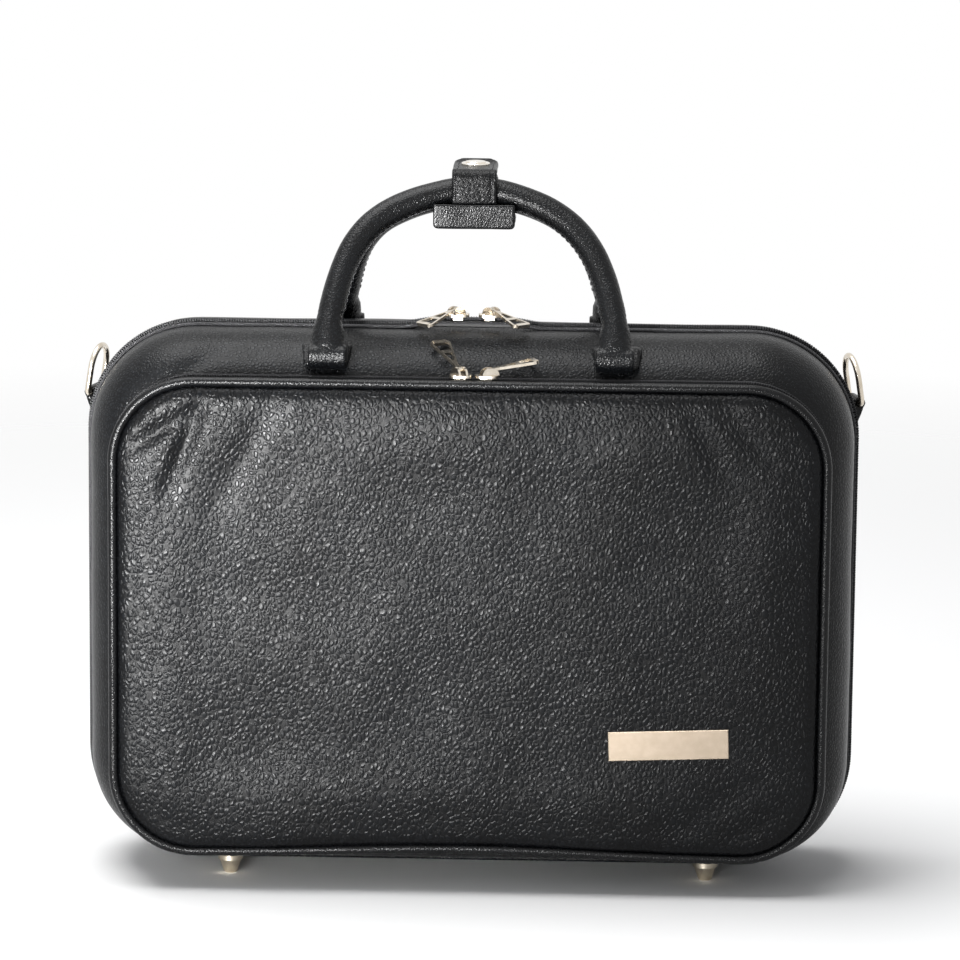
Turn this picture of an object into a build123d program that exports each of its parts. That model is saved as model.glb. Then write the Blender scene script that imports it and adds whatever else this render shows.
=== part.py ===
from build123d import *
from functools import cache
from math import asin, cos, degrees, radians, sin, sqrt
import os

# Clarinet case: two leather-covered halves closed by a zip, with a zipped pocket on the front,
# twin carrying handles held together by a snap wrap, a strap ring on each side and metal feet.
# Millimetres. +X is to the right, +Y to the back and +Z up; the feet stand on Z = 0.

os.makedirs("parts", exist_ok=True)

FRONT = -1
REAR = 1

# ---------------------------------------------------------------- driving dimensions
# Leather-covered body
body_width = 375.0
body_height = 264.5
body_corner = 52.0
front_depth = 46.0
rear_depth = 50.0
edge_radius = 32.0
half_gap = 0.2
glue_gap = 0.05
cover_wall = 1.6
core_wall = 5.0
lining_wall = 1.4

# Feet and their screws
foot_height = 8.0
foot_tip_radius = 3.3
foot_top_radius = 5.6
foot_flange_radius = 6.2
foot_flange = 1.2
foot_spacing = 236.0
foot_setback = 22.0
screw_radius = 1.5
screw_depth_in_foot = 4.5
screw_head_radius = 4.5
screw_head = 1.2
screw_clearance = 0.15

# Main zip and the hinge strip between its ends
tape_height = 0.9
tape_width = 7.0
teeth_height = 1.7
teeth_width = 1.7
zip_gap = 0.15
zip_lift = 2.4
zip_lift_half_width = 17.0
zip_lift_run = 20.0
hinge_length = 270.0
hinge_reach = 14.0
hinge_end_gap = 0.5

# Front pocket
pocket_side_margin = 12.5
pocket_head_margin = 16.5
pocket_corner = 42.0
pocket_rise = 9.5
pocket_depth = 12.0
panel_rise = 6.0
panel_wall = 2.4
panel_edge_radius = 5.2
piping_radius = 2.4
piping_lead = 0.8
piping_bite = 0.6
gusset_inset = 1.2
gusset_wall = 1.5
gusset_gap = 0.3
pocket_zip_drop = 66.0
pocket_teeth_height = 1.3
pocket_teeth_width = 1.5
pocket_seam = 6.0

# Name plate
plate_width = 58.5
plate_height = 14.5
plate_thickness = 1.0
plate_side_inset = 76.8
plate_rise = 61.0
plate_tilt = 2.1
plate_edge = 0.3
pin_spacing = 44.0
pin_radius = 0.8
pin_tail = 0.7

# Zip sliders and pulls
slider_length = 11.0
slider_width = 7.6
slider_plate = 1.4
slider_corner = 3.0
slider_play = 0.15
flange_wall = 1.4
flange_tape_gap = 0.35
lug_length = 8.6
lug_height = 3.6
lug_wall = 1.1
pull_pin_radius = 0.7
pull_pin_height = 2.3
pull_pin_shift = 1.5
pull_bore_play = 0.12
knuckle_radius = 1.15
knuckle_width = 2.5
knuckle_side_play = 0.15
pull_length = 24.0
pull_end_width = 12.0
pull_thickness = 1.3
pull_rail = 2.4
pull_side = 1.2
pull_neck = 5.0
pull_step = 1.7
main_slider_spacing = 15.5
main_pull_yaw = 47.0
main_pull_droop = 13.0
pocket_slider_spacing = 12.4
pocket_slider_shift = 1.5
left_pocket_pull_yaw = 60.0
right_pocket_pull_yaw = 20.0
left_pocket_pull_lift = 26.0
right_pocket_pull_lift = 9.0

# Handles
handle_radius = 6.5
handle_core_radius = 4.6
front_handle_half_span = 70.5
rear_handle_half_span = 66.8
handle_rise = 69.0
handle_flare = 18.0
rear_handle_drop = 4.0
handle_tube_gap = 3.0
handle_end_radius = 6.0
handle_foot_width = 25.0
handle_foot_depth = 11.0
anchor_wall = 3.8
anchor_width = 30.0
anchor_play = 0.3
anchor_angle = 35.0
anchor_low = 3.0
anchor_high = 3.5
anchor_corner = 4.0

# Wrap that holds the handles together
strap_width = 22.0
strap_wall = 2.5
strap_play = 0.5
wrap_pad_width = 40.0
wrap_pad_low = 18.0
wrap_pad_bottom_wall = 3.0
wrap_pad_split = 6.5
wrap_pad_gap = 0.5
wrap_pad_lip = 1.6
wrap_pad_lip_reach = 0.7
wrap_pad_corner = 2.4
wrap_pad_lip_top = 9.0
flap_overhang = 2.5
band_wall = 1.2
flap_gap = 0.3
band_top = 1.7
snap_setback = 3.5
snap_ring_radius = 7.0
snap_ring_height = 1.1
snap_button_radius = 5.0
snap_button_height = 0.6
snap_post_radius = 1.6
socket_radius = 5.0
socket_gap = 0.5
stud_radius = 2.6
stud_height = 2.0
stud_play = 0.08

# Strap rings and their tabs
ring_wire = 1.5
ring_inside_width = 18.0
ring_inside_height = 20.0
ring_corner = 3.2
ring_lean = 9.0
ring_turn = 15.0
ring_drop = 38.0
ring_setback = 22.0
ring_bar_standoff = 3.6
tab_width = 14.0
tab_wall = 1.4
tab_play = 0.2
tab_drop = 14.0

# Fitted inside
insert_reveal = 2.0
recess_wall = 9.0
recess_margin = 12.0
recess_play = 3.0
recess_corner = 10.0
recess_floor_radius = 9.0
upper_joint_length = 225.0
upper_joint_width = 37.0
lower_joint_length = 258.0
lower_joint_width = 40.0
bell_length = 107.0
bell_width = 78.0
barrel_length = 65.0
barrel_width = 31.0
mouthpiece_length = 92.0
mouthpiece_width = 34.0
reed_bay_length = 46.0
accessory_bay_length = 264.0
accessory_bay_width = 22.0
joint_recess_depth = 30.0
bell_recess_depth = 36.0
bay_depth = 24.0
lid_pad_thickness = 8.0

# ---------------------------------------------------------------- places worked out from them
body_bottom = foot_height
body_top = body_bottom + body_height
body_middle = body_bottom + body_height / 2
front_reach = front_depth + pocket_depth + panel_rise
handle_stand = edge_radius + anchor_wall + anchor_play + handle_end_radius
rear_handle_reach = rear_depth - edge_radius + handle_stand * cos(radians(anchor_angle)) + handle_end_radius
zip_y = (front_reach + plate_thickness - rear_handle_reach) / 2
half_depth = {FRONT: front_depth, REAR: rear_depth}
core_inset = cover_wall + glue_gap
lining_inset = core_inset + core_wall + glue_gap
cavity_inset = lining_inset + lining_wall + glue_gap
pocket_width = body_width - 2 * pocket_side_margin
pocket_height = body_height - pocket_rise - pocket_head_margin
pocket_middle = body_bottom + pocket_rise + pocket_height / 2
pocket_top = body_bottom + pocket_rise + pocket_height
pocket_zip_end = pocket_top - pocket_zip_drop
panel_back = front_depth + pocket_depth
handle_top = body_top + handle_rise
ring_height = body_top - ring_drop
teeth_base = 2 * glue_gap + tape_height
zip_height = teeth_base + teeth_height
strip_bottom = body_bottom - zip_height
on_top = (Align.CENTER, Align.CENTER, Align.MIN)
along_z = (0, 0, 1)


def keep(piece, name):
    """Label one finished piece and write it to its own file."""
    piece.part.label = name
    export_step(piece.part, f"parts/{name}.step")


def across(side, distance):
    """Plane parallel to the zip plane, distance out from it towards the front or the rear."""
    return Plane(origin=(0, zip_y + side * distance, body_middle), x_dir=(-side, 0, 0), z_dir=(0, side, 0))


def pocket_plane(distance):
    """Plane of the pocket's outline, distance in front of the zip plane."""
    return Plane(origin=(0, zip_y - distance, pocket_middle), x_dir=(1, 0, 0), z_dir=(0, -1, 0))


# ---------------------------------------------------------------- body halves
@cache
def half_block(side, inset):
    """Solid half of the case with its rounded outer edge, drawn in by inset from the leather."""
    with BuildPart() as block:
        with BuildSketch(across(side, half_gap)):
            RectangleRounded(body_width - 2 * inset, body_height - 2 * inset, body_corner - inset)
        extrude(amount=half_depth[side] - inset - half_gap)
        outer_face = block.faces().sort_by(Axis.Y)[0 if side == FRONT else -1]
        fillet(outer_face.edges(), edge_radius - inset)
    return block.part


def foot_places(side, height):
    """Where the two feet of one half stand, at a height above the floor."""
    return [(x, zip_y + side * foot_setback, height) for x in (-foot_spacing / 2, foot_spacing / 2)]


def screw_solid(side, play):
    """The two foot screws of one half, grown by play to cut their own holes."""
    tip = foot_height - screw_depth_in_foot
    head_top = body_bottom + lining_inset - glue_gap
    with BuildPart() as screws:
        with Locations(*foot_places(side, tip)):
            Cylinder(screw_radius + play, head_top - screw_head - tip, align=on_top)
        with Locations(*foot_places(side, head_top - screw_head)):
            Cylinder(screw_head_radius + play, screw_head, align=on_top)
    return screws


def bowl(side, inset, wall):
    """One layer of a half: a bowl open towards the zip plane, with the foot screws' holes."""
    outer = half_block(side, inset)
    inner = half_block(side, inset + wall)
    holes = screw_solid(side, screw_clearance)
    with BuildPart() as layer:
        add(outer)
        add(inner, mode=Mode.SUBTRACT)
        add(holes.part, mode=Mode.SUBTRACT)
    return layer


def feet(side):
    """Two tapered studs whose flanges seat on the leather."""
    leather = half_block(side, -glue_gap)
    holes = screw_solid(side, glue_gap)
    with BuildPart() as studs:
        with Locations(*foot_places(side, 0)):
            Cone(foot_tip_radius, foot_top_radius, foot_height - foot_flange, align=on_top)
        with Locations(*foot_places(side, foot_height - foot_flange)):
            Cylinder(foot_flange_radius, 2 * foot_flange, align=on_top)
        fillet(studs.edges().group_by(Axis.Z)[0], foot_tip_radius / 6)
        add(leather, mode=Mode.SUBTRACT)
        add(holes.part, mode=Mode.SUBTRACT)
    return studs


def zip_outline(side, start, reach):
    """Outline of the body grown by reach, with the low rise that the zip makes under its two sliders."""
    top = body_height / 2 + reach
    foot = zip_lift_half_width + zip_lift_run
    with BuildSketch(across(side, start)) as outline:
        RectangleRounded(body_width + 2 * reach, body_height + 2 * reach, body_corner + reach)
        with BuildLine():
            Polyline(
                (-foot, top), (-zip_lift_half_width, top + zip_lift), (zip_lift_half_width, top + zip_lift), (foot, top),
                (foot, 0), (-foot, 0), close=True,
            )
        make_face()
    return outline.sketch


def zip_band(side, base, height, start, width):
    """Band that follows the body's edge from one end of the hinge strip round to the other."""
    outline = zip_outline(side, start, base + height)
    inside = zip_outline(side, start, base)
    with BuildPart() as band:
        extrude(to_extrude=outline, amount=width)
        extrude(to_extrude=inside, amount=width, mode=Mode.SUBTRACT)
        with Locations((0, zip_y, body_bottom)):
            Box(hinge_length, 4 * tape_width, body_corner, mode=Mode.SUBTRACT)
    return band


for side, name in ((FRONT, "front"), (REAR, "rear")):
    keep(bowl(side, 0, cover_wall), f"{name}_cover")
    keep(bowl(side, core_inset, core_wall), f"{name}_core")
    keep(bowl(side, lining_inset, lining_wall), f"{name}_lining")
    keep(feet(side), f"{name}_feet")
    keep(screw_solid(side, 0), f"{name}_foot_screws")
    keep(zip_band(side, glue_gap, tape_height, zip_gap, tape_width), f"{name}_zip_tape")
    keep(zip_band(side, teeth_base, teeth_height, zip_gap, teeth_width), f"{name}_zip_teeth")

with BuildPart() as hinge_strip:
    with Locations((0, zip_y, strip_bottom)):
        Box(hinge_length - 2 * hinge_end_gap, 2 * hinge_reach, zip_height - glue_gap, align=on_top)
    fillet(hinge_strip.edges().filter_by(Axis.X).group_by(Axis.Z)[0], tape_height)
keep(hinge_strip, "hinge_strip")


# ---------------------------------------------------------------- fitted inside
def recess_rows():
    """Rows of (centre x, centre z, length, width, depth), stacked down from the handle side."""
    inner_width = body_width - 2 * cavity_inset
    top = body_top - cavity_inset - recess_margin
    rows = (
        ((upper_joint_length, upper_joint_width, joint_recess_depth), (barrel_length, barrel_width, joint_recess_depth)),
        ((lower_joint_length, lower_joint_width, joint_recess_depth), (reed_bay_length, lower_joint_width, bay_depth)),
        ((bell_length, bell_width, bell_recess_depth), (mouthpiece_length, mouthpiece_width, joint_recess_depth)),
        ((accessory_bay_length, accessory_bay_width, bay_depth),),
    )
    placed = []
    for row in rows:
        row_width = max(width for length, width, depth in row) + 2 * recess_play
        spare = inner_width - sum(length + 2 * recess_play for length, width, depth in row)
        gap = spare / (len(row) + 1)
        left = -inner_width / 2 + gap
        for length, width, depth in row:
            cut_length = length + 2 * recess_play
            placed.append((left + cut_length / 2, top - row_width / 2, cut_length, width + 2 * recess_play, depth))
            left += cut_length + gap
        top -= row_width + recess_wall
    return placed


def recess(x, z, length, width, depth):
    """One rounded trough, cut into the insert from its open face."""
    floor = min(recess_floor_radius, width / 3)
    mouth = Plane(origin=(x, zip_y + insert_reveal, z), x_dir=(1, 0, 0), z_dir=(0, -1, 0))
    with BuildPart() as trough:
        with BuildSketch(mouth):
            RectangleRounded(length, width, min(recess_corner, width / 2.5))
        extrude(amount=-depth)
        fillet(trough.faces().sort_by(Axis.Y)[-1].edges(), floor)
    return trough.part


def rear_insert_piece():
    """Plush-covered block that fills the rear half and holds the clarinet's joints."""
    block = half_block(REAR, cavity_inset)
    troughs = [recess(*place) for place in recess_rows()]
    with BuildPart() as insert:
        add(block)
        with Locations((0, zip_y, body_middle)):
            Box(body_width, 2 * insert_reveal, body_height, mode=Mode.SUBTRACT)
        add(troughs, mode=Mode.SUBTRACT)
    return insert


def lid_pad_piece():
    """Flat padded panel on the inner face of the front half."""
    block = half_block(FRONT, cavity_inset)
    hollow = front_depth - cavity_inset - lid_pad_thickness
    with BuildPart() as pad:
        add(block)
        with Locations((0, zip_y, body_middle)):
            Box(body_width, 2 * hollow, body_height, mode=Mode.SUBTRACT)
    return pad


keep(rear_insert_piece(), "fitted_insert")
keep(lid_pad_piece(), "lid_pad")


# ---------------------------------------------------------------- front pocket
def pocket_ring(inset, wall, start, width):
    """Band along the pocket's outline, drawn in by inset, from start towards the front."""
    with BuildPart() as ring:
        with BuildSketch(pocket_plane(start)):
            RectangleRounded(pocket_width - 2 * inset, pocket_height - 2 * inset, pocket_corner - inset)
            inner = inset + wall
            RectangleRounded(
                pocket_width - 2 * inner, pocket_height - 2 * inner, pocket_corner - inner, mode=Mode.SUBTRACT
            )
        extrude(amount=width)
    return ring.part


def piping_piece():
    """Round welt along the front edge of the pocket."""
    half_w = pocket_width / 2 - piping_radius
    half_h = pocket_height / 2 - piping_radius
    corners = [(-half_w, -half_h), (half_w, -half_h), (half_w, half_h), (-half_w, half_h)]
    with BuildPart() as piping:
        with BuildLine(pocket_plane(panel_back + piping_lead)) as edge:
            FilletPolyline(*corners, radius=pocket_corner - piping_radius, close=True)
        with BuildSketch(Plane(origin=edge.line @ 0, z_dir=edge.line % 0)):
            Circle(piping_radius)
        sweep(path=edge.line)
    return piping


def pocket_band(inset, wall, start, end, above):
    """Part of the pocket's side band above or below the ends of its zip, clear of the front half."""
    ring = pocket_ring(inset, wall, start, end - start)
    shell = half_block(FRONT, -glue_gap)
    cut_height = pocket_zip_end + (-pocket_height / 2 if above else pocket_height / 2)
    with BuildPart() as band:
        add(ring)
        add(shell, mode=Mode.SUBTRACT)
        with Locations((0, zip_y - front_depth, cut_height)):
            Box(2 * pocket_width, 4 * pocket_depth, pocket_height, mode=Mode.SUBTRACT)
    return band


def pocket_zip_half(start, end, teeth_start):
    """Tape of one side of the pocket zip, with its row of teeth along the seam."""
    tape = pocket_band(gusset_inset, gusset_wall, start, end, True)
    teeth_inset = gusset_inset - pocket_teeth_height
    teeth = pocket_band(teeth_inset, pocket_teeth_height, teeth_start, teeth_start + pocket_teeth_width, True)
    with BuildPart() as zip_half:
        add(tape.part)
        add(teeth.part)
    return zip_half


def name_plate_plane(distance):
    """Plane of the name plate, tilted slightly as it is riveted on."""
    across_x = pocket_width / 2 - plate_side_inset
    centre = (across_x, zip_y - distance, body_bottom + pocket_rise + plate_rise)
    tilt = radians(plate_tilt)
    return Plane(origin=centre, x_dir=(cos(tilt), 0, sin(tilt)), z_dir=(0, -1, 0))


def plate_pin_solid(play):
    """Two prongs behind the name plate, grown by play to cut their holes."""
    length = panel_wall + pin_tail
    with BuildPart() as pins:
        with BuildSketch(name_plate_plane(front_reach - length)):
            with Locations((-pin_spacing / 2, 0), (pin_spacing / 2, 0)):
                Circle(pin_radius + play)
        extrude(amount=length)
    return pins


def panel_piece(piping):
    """Front panel of the pocket: a shallow pan with a rounded edge that rises inside the welt."""
    inset = 2 * piping_radius - piping_bite
    inner = inset + panel_wall
    holes = plate_pin_solid(screw_clearance)
    with BuildPart() as panel:
        with BuildSketch(pocket_plane(panel_back)):
            RectangleRounded(pocket_width - 2 * inset, pocket_height - 2 * inset, pocket_corner - inset)
        extrude(amount=panel_rise)
        fillet(panel.faces().sort_by(Axis.Y)[0].edges(), panel_edge_radius)
        with BuildSketch(pocket_plane(panel_back)):
            RectangleRounded(pocket_width - 2 * inner, pocket_height - 2 * inner, pocket_corner - inner)
        extrude(amount=panel_rise - panel_wall, mode=Mode.SUBTRACT)
        add(piping.part, mode=Mode.SUBTRACT)
        add(holes.part, mode=Mode.SUBTRACT)
    return panel


def plate_piece():
    """Bare rectangular name plate with a small chamfer."""
    with BuildPart() as plate:
        with BuildSketch(name_plate_plane(front_reach)):
            Rectangle(plate_width, plate_height)
        extrude(amount=plate_thickness)
        chamfer(plate.faces().sort_by(Axis.Y)[0].edges(), plate_edge)
    return plate


shell_back = front_depth - edge_radius / 2
gusset_end = panel_back + piping_lead - piping_radius - gusset_gap
seam = front_depth + pocket_seam
piping = piping_piece()
front_teeth_start = seam + zip_gap
back_teeth_start = seam - zip_gap - pocket_teeth_width

keep(piping, "pocket_piping")
keep(pocket_band(gusset_inset, gusset_wall, shell_back, gusset_end, False), "pocket_gusset")
keep(pocket_zip_half(shell_back, seam - zip_gap, back_teeth_start), "pocket_zip_back")
keep(pocket_zip_half(front_teeth_start, gusset_end, front_teeth_start), "pocket_zip_front")
keep(panel_piece(piping), "pocket_panel")
keep(plate_piece(), "name_plate")
keep(plate_pin_solid(0), "plate_pins")


# ---------------------------------------------------------------- zip sliders and pulls
def slider_piece(seat, yaw, drop):
    """Slider that stands over closed teeth; seat lies on the teeth, its x axis towards the open end."""
    plate = seat.offset(slider_play)
    lugs = plate.offset(slider_plate).rotated((0, 0, yaw))
    lug_side = knuckle_width / 2 + knuckle_side_play
    pin_centre = lugs.from_local_coords((pull_pin_shift, 0, pull_pin_height))
    with BuildPart() as slider:
        with BuildSketch(plate):
            RectangleRounded(slider_length, slider_width, slider_corner)
        extrude(amount=slider_plate)
        with BuildSketch(plate):
            with Locations((0, slider_width / 2 - flange_wall / 2), (0, flange_wall / 2 - slider_width / 2)):
                Rectangle(slider_length - 2 * slider_corner, flange_wall)
        extrude(amount=-drop)
        for start in (lug_side, -lug_side - lug_wall):
            wall = Plane(origin=lugs.from_local_coords((pull_pin_shift, start, 0)), x_dir=lugs.x_dir, z_dir=lugs.y_dir)
            with BuildSketch(wall):
                Ellipse(lug_length / 2, lug_height)
                with Locations((0, lug_height)):
                    Rectangle(lug_length, 2 * lug_height, mode=Mode.SUBTRACT)
            extrude(amount=lug_wall)
        pin_plane = Plane(origin=pin_centre, x_dir=lugs.x_dir, z_dir=lugs.y_dir)
        with BuildSketch(pin_plane):
            Circle(pull_pin_radius)
        extrude(amount=lug_side + lug_wall / 2, both=True)
    return slider


def pull_piece(seat, yaw, lift):
    """Tapered pull with two windows, hung on the slider's pin; lift is its angle above level."""
    lugs = seat.offset(slider_play + slider_plate).rotated((0, 0, yaw))
    pin_centre = lugs.from_local_coords((pull_pin_shift, 0, pull_pin_height))
    across_pin = Plane(origin=pin_centre, x_dir=lugs.x_dir, z_dir=lugs.y_dir)
    along = lugs.x_dir * cos(radians(lift)) + lugs.z_dir * sin(radians(lift))
    flat = Plane(origin=pin_centre, x_dir=along, z_dir=along.cross(lugs.y_dir))
    window = (pull_length - pull_neck - 3 * pull_rail) / 2
    with BuildPart() as pull:
        with BuildSketch(flat) as outline:
            with BuildLine():
                Polyline(
                    (0, -knuckle_width / 2),
                    (pull_neck, -knuckle_width / 2),
                    (pull_length, -pull_end_width / 2),
                    (pull_length, pull_end_width / 2),
                    (pull_neck, knuckle_width / 2),
                    (0, knuckle_width / 2),
                    close=True,
                )
            make_face()
            fillet(outline.vertices().sort_by(Axis.X)[-2:], pull_rail)
            for step in range(2):
                near = pull_neck + pull_rail + step * (window + pull_rail)
                slope = (pull_end_width - knuckle_width) / (pull_length - pull_neck)
                near_half = (knuckle_width + slope * (near - pull_neck)) / 2 - pull_side
                far_half = near_half + slope * window / 2
                with BuildLine():
                    Polyline(
                        (near, -near_half), (near + window, -far_half), (near + window, far_half), (near, near_half),
                        close=True,
                    )
                make_face(mode=Mode.SUBTRACT)
        extrude(amount=pull_thickness / 2, both=True)
        with BuildSketch(flat):
            with Locations((pull_length - pull_rail / 2, 0)):
                Rectangle(pull_rail, pull_end_width - 2 * pull_rail)
        extrude(amount=pull_step / 2, both=True)
        with BuildSketch(across_pin):
            Circle(knuckle_radius)
        extrude(amount=knuckle_width / 2, both=True)
        with BuildSketch(across_pin):
            Circle(pull_pin_radius + pull_bore_play)
        extrude(amount=knuckle_width, both=True, mode=Mode.SUBTRACT)
    return pull


def zip_seat(x, y, height, towards):
    """Seat of a slider on top of closed teeth; towards is -1 or +1 along X."""
    return Plane(origin=(x, y, height), x_dir=(towards, 0, 0), z_dir=along_z)


main_seat_height = body_top + zip_height + zip_lift
pocket_seat_height = pocket_top - gusset_inset + pocket_teeth_height
pocket_zip_y = zip_y - seam
main_flange_drop = slider_play + teeth_height - flange_tape_gap
pocket_flange_drop = slider_play + pocket_teeth_height - flange_tape_gap
pocket_lifts = {"left": left_pocket_pull_lift, "right": right_pocket_pull_lift}
pocket_yaws = {"left": -left_pocket_pull_yaw, "right": right_pocket_pull_yaw}

for towards, name in ((-1, "left"), (1, "right")):
    main_seat = zip_seat(towards * main_slider_spacing / 2, zip_y, main_seat_height, towards)
    keep(slider_piece(main_seat, towards * -main_pull_yaw, main_flange_drop), f"main_slider_{name}")
    keep(pull_piece(main_seat, towards * -main_pull_yaw, -main_pull_droop), f"main_pull_{name}")
    pocket_x = pocket_slider_shift + towards * pocket_slider_spacing / 2
    pocket_seat = zip_seat(pocket_x, pocket_zip_y, pocket_seat_height, towards)
    keep(slider_piece(pocket_seat, pocket_yaws[name], pocket_flange_drop), f"pocket_slider_{name}")
    keep(pull_piece(pocket_seat, pocket_yaws[name], pocket_lifts[name]), f"pocket_pull_{name}")


# ---------------------------------------------------------------- handles
handle_tops = {FRONT: handle_top, REAR: handle_top - rear_handle_drop}


def handle_foot(side):
    """Point (y, z) of a handle's pivot, standing off the rounded top edge of its half."""
    y = zip_y + side * (half_depth[side] - edge_radius + handle_stand * cos(radians(anchor_angle)))
    return y, body_top - edge_radius + handle_stand * sin(radians(anchor_angle))


def handle_plane(side):
    """Leaning plane of a handle: origin at its pivot line, x along +X and y up the handle."""
    foot_y, foot_z = handle_foot(side)
    top_y = zip_y + side * (handle_radius + handle_tube_gap / 2)
    top_z = handle_tops[side]
    up = Vector(0, top_y - foot_y, top_z - foot_z)
    return Plane(origin=(0, foot_y, foot_z), x_dir=(1, 0, 0), z_dir=Vector(1, 0, 0).cross(up)), up.length


def handle_line(side, half_span):
    """Elliptical arch of a handle between the tops of its two flared feet."""
    plane, length = handle_plane(side)
    angle = degrees(asin(handle_flare / length))
    with BuildLine(plane) as route:
        EllipticalCenterArc((0, 0), half_span, length, start_angle=angle, arc_size=180 - 2 * angle)
    return route.line


def handle_arc(side, half_span, radius):
    """Round rod along the arch of a handle."""
    line = handle_line(side, half_span)
    with BuildPart() as rod:
        with BuildSketch(Plane(origin=line @ 0, z_dir=line % 0)):
            Circle(radius)
        sweep(path=line)
    return rod


def handle_piece(side, half_span):
    """Leather handle: hollow half circle, flared foot at each end and the rolled edge it turns on."""
    plane, _ = handle_plane(side)
    line = handle_line(side, half_span)
    tube = handle_arc(side, half_span, handle_radius)
    core = handle_arc(side, half_span, handle_core_radius + glue_gap)
    with BuildPart() as handle:
        add(tube.part)
        add(core.part, mode=Mode.SUBTRACT)
        for end, inwards in ((0, line % 0), (1, (line % 1) * -1)):
            x = (line @ end).X
            root = Plane(origin=plane.from_local_coords((x, 0, 0)), x_dir=plane.x_dir, z_dir=plane.y_dir)
            with BuildSketch(root):
                Ellipse(handle_foot_width / 2, handle_foot_depth / 2)
            with BuildSketch(Plane(origin=line @ end, x_dir=plane.z_dir.cross(inwards), z_dir=inwards)):
                Circle(handle_radius)
            loft()
            with BuildSketch(Plane(origin=root.origin, x_dir=(0, 1, 0), z_dir=(1, 0, 0))):
                Circle(handle_end_radius)
            extrude(amount=handle_foot_width / 2, both=True)
    return handle


def anchors_piece(side, half_span):
    """Two leather tabs on the rounded top edge of a half, one behind each handle foot."""
    patch = half_block(side, -anchor_wall)
    leather = half_block(side, -glue_gap)
    low = pocket_top + anchor_low
    high = body_top - anchor_high
    outer_y = zip_y + side * half_depth[side]
    with BuildPart() as window:
        with BuildSketch(Plane(origin=(0, outer_y, (low + high) / 2), x_dir=(1, 0, 0), z_dir=(0, -1, 0))):
            with Locations((-half_span, 0), (half_span, 0)):
                RectangleRounded(anchor_width, high - low, anchor_corner)
        extrude(amount=edge_radius, both=True)
    with BuildPart() as anchors:
        add(patch)
        add(leather, mode=Mode.SUBTRACT)
        add(window.part, mode=Mode.INTERSECT)
    return anchors


for side, name, half_span in (
    (FRONT, "front", front_handle_half_span),
    (REAR, "rear", rear_handle_half_span),
):
    keep(handle_piece(side, half_span), f"{name}_handle")
    keep(handle_arc(side, half_span, handle_core_radius), f"{name}_handle_core")
    keep(anchors_piece(side, half_span), f"{name}_handle_tabs")


# ---------------------------------------------------------------- wrap round the handles
front_tube_y = zip_y - handle_radius - handle_tube_gap / 2
rear_tube_y = zip_y + handle_radius + handle_tube_gap / 2
rear_tube_z = handle_tops[REAR]
wrap_front = front_tube_y - handle_radius - strap_play
flap_back = rear_tube_y + handle_radius + flap_overhang
flap_under = handle_top + handle_radius + band_wall + flap_gap
pad_bottom = handle_top - wrap_pad_low
pad_floor = pad_bottom + wrap_pad_bottom_wall
lip_top = pad_floor + wrap_pad_lip_top
band_top_height = rear_tube_z + handle_radius + band_top
snap_y = zip_y + snap_setback
flap_bottom = flap_under + socket_gap
flap_top = flap_bottom + strap_wall
socket_bottom = band_top_height + socket_gap
lip_front = wrap_front - strap_wall - wrap_pad_lip_reach


def wrap_pad_piece(points):
    """One half of the wide saddle under the handles, drawn in section and rounded at its low ends."""
    with BuildPart() as pad:
        with BuildSketch(Plane.YZ):
            with BuildLine():
                Polyline(*points, close=True)
            make_face()
        extrude(amount=wrap_pad_width / 2, both=True)
        low_ends = pad.edges().filter_by(Axis.Y).group_by(Axis.Z)[0]
        fillet(low_ends, wrap_pad_corner)
    return pad


def front_strap_piece():
    """Upright part of the strap, sewn to a band round the front handle."""
    rod = handle_arc(FRONT, front_handle_half_span, handle_radius + glue_gap)
    with BuildPart() as strap:
        with BuildSketch(Plane(origin=(0, front_tube_y, handle_top), x_dir=(0, 1, 0), z_dir=(1, 0, 0))):
            Circle(handle_radius + band_wall)
        extrude(amount=strap_width / 2, both=True)
        with Locations((0, wrap_front - strap_wall / 2, lip_top)):
            Box(strap_width, strap_wall, flap_under - lip_top, align=on_top)
        add(rod.part, mode=Mode.SUBTRACT)
    return strap


def flap_piece():
    """Top flap of the strap: hinge roll at the front fold and rounded corners at its free end."""
    fold_y = wrap_front - strap_wall / 2
    fold_z = flap_bottom + strap_wall / 2
    with BuildPart() as flap:
        with BuildSketch(Plane.XY.offset(fold_z - strap_wall / 2)):
            with Locations((0, (fold_y + flap_back) / 2)):
                Rectangle(strap_width, flap_back - fold_y)
        extrude(amount=strap_wall)
        back_corners = flap.edges().filter_by(Axis.Z).group_by(Axis.Y)[-1]
        fillet(back_corners, strap_width / 5)
        with BuildSketch(Plane(origin=(0, fold_y, fold_z), x_dir=(0, 1, 0), z_dir=(1, 0, 0))):
            Circle(strap_wall / 2)
        extrude(amount=strap_width / 2, both=True)
        with Locations((0, snap_y, fold_z)):
            Cylinder(snap_post_radius, 2 * strap_wall, mode=Mode.SUBTRACT)
    return flap


def rear_band_piece():
    """Band sewn round the rear handle, with a flat top that carries the snap's stud."""
    outer = handle_radius + band_wall
    flat = handle_radius + band_top
    rod = handle_arc(REAR, rear_handle_half_span, handle_radius + glue_gap)
    with BuildPart() as band:
        with BuildSketch(Plane(origin=(0, rear_tube_y, rear_tube_z), x_dir=(0, 1, 0), z_dir=(1, 0, 0))):
            Circle(outer)
            with Locations((0, flat / 2)):
                Rectangle(2 * outer, flat)
        extrude(amount=strap_width / 2, both=True)
        add(rod.part, mode=Mode.SUBTRACT)
    return band


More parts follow.
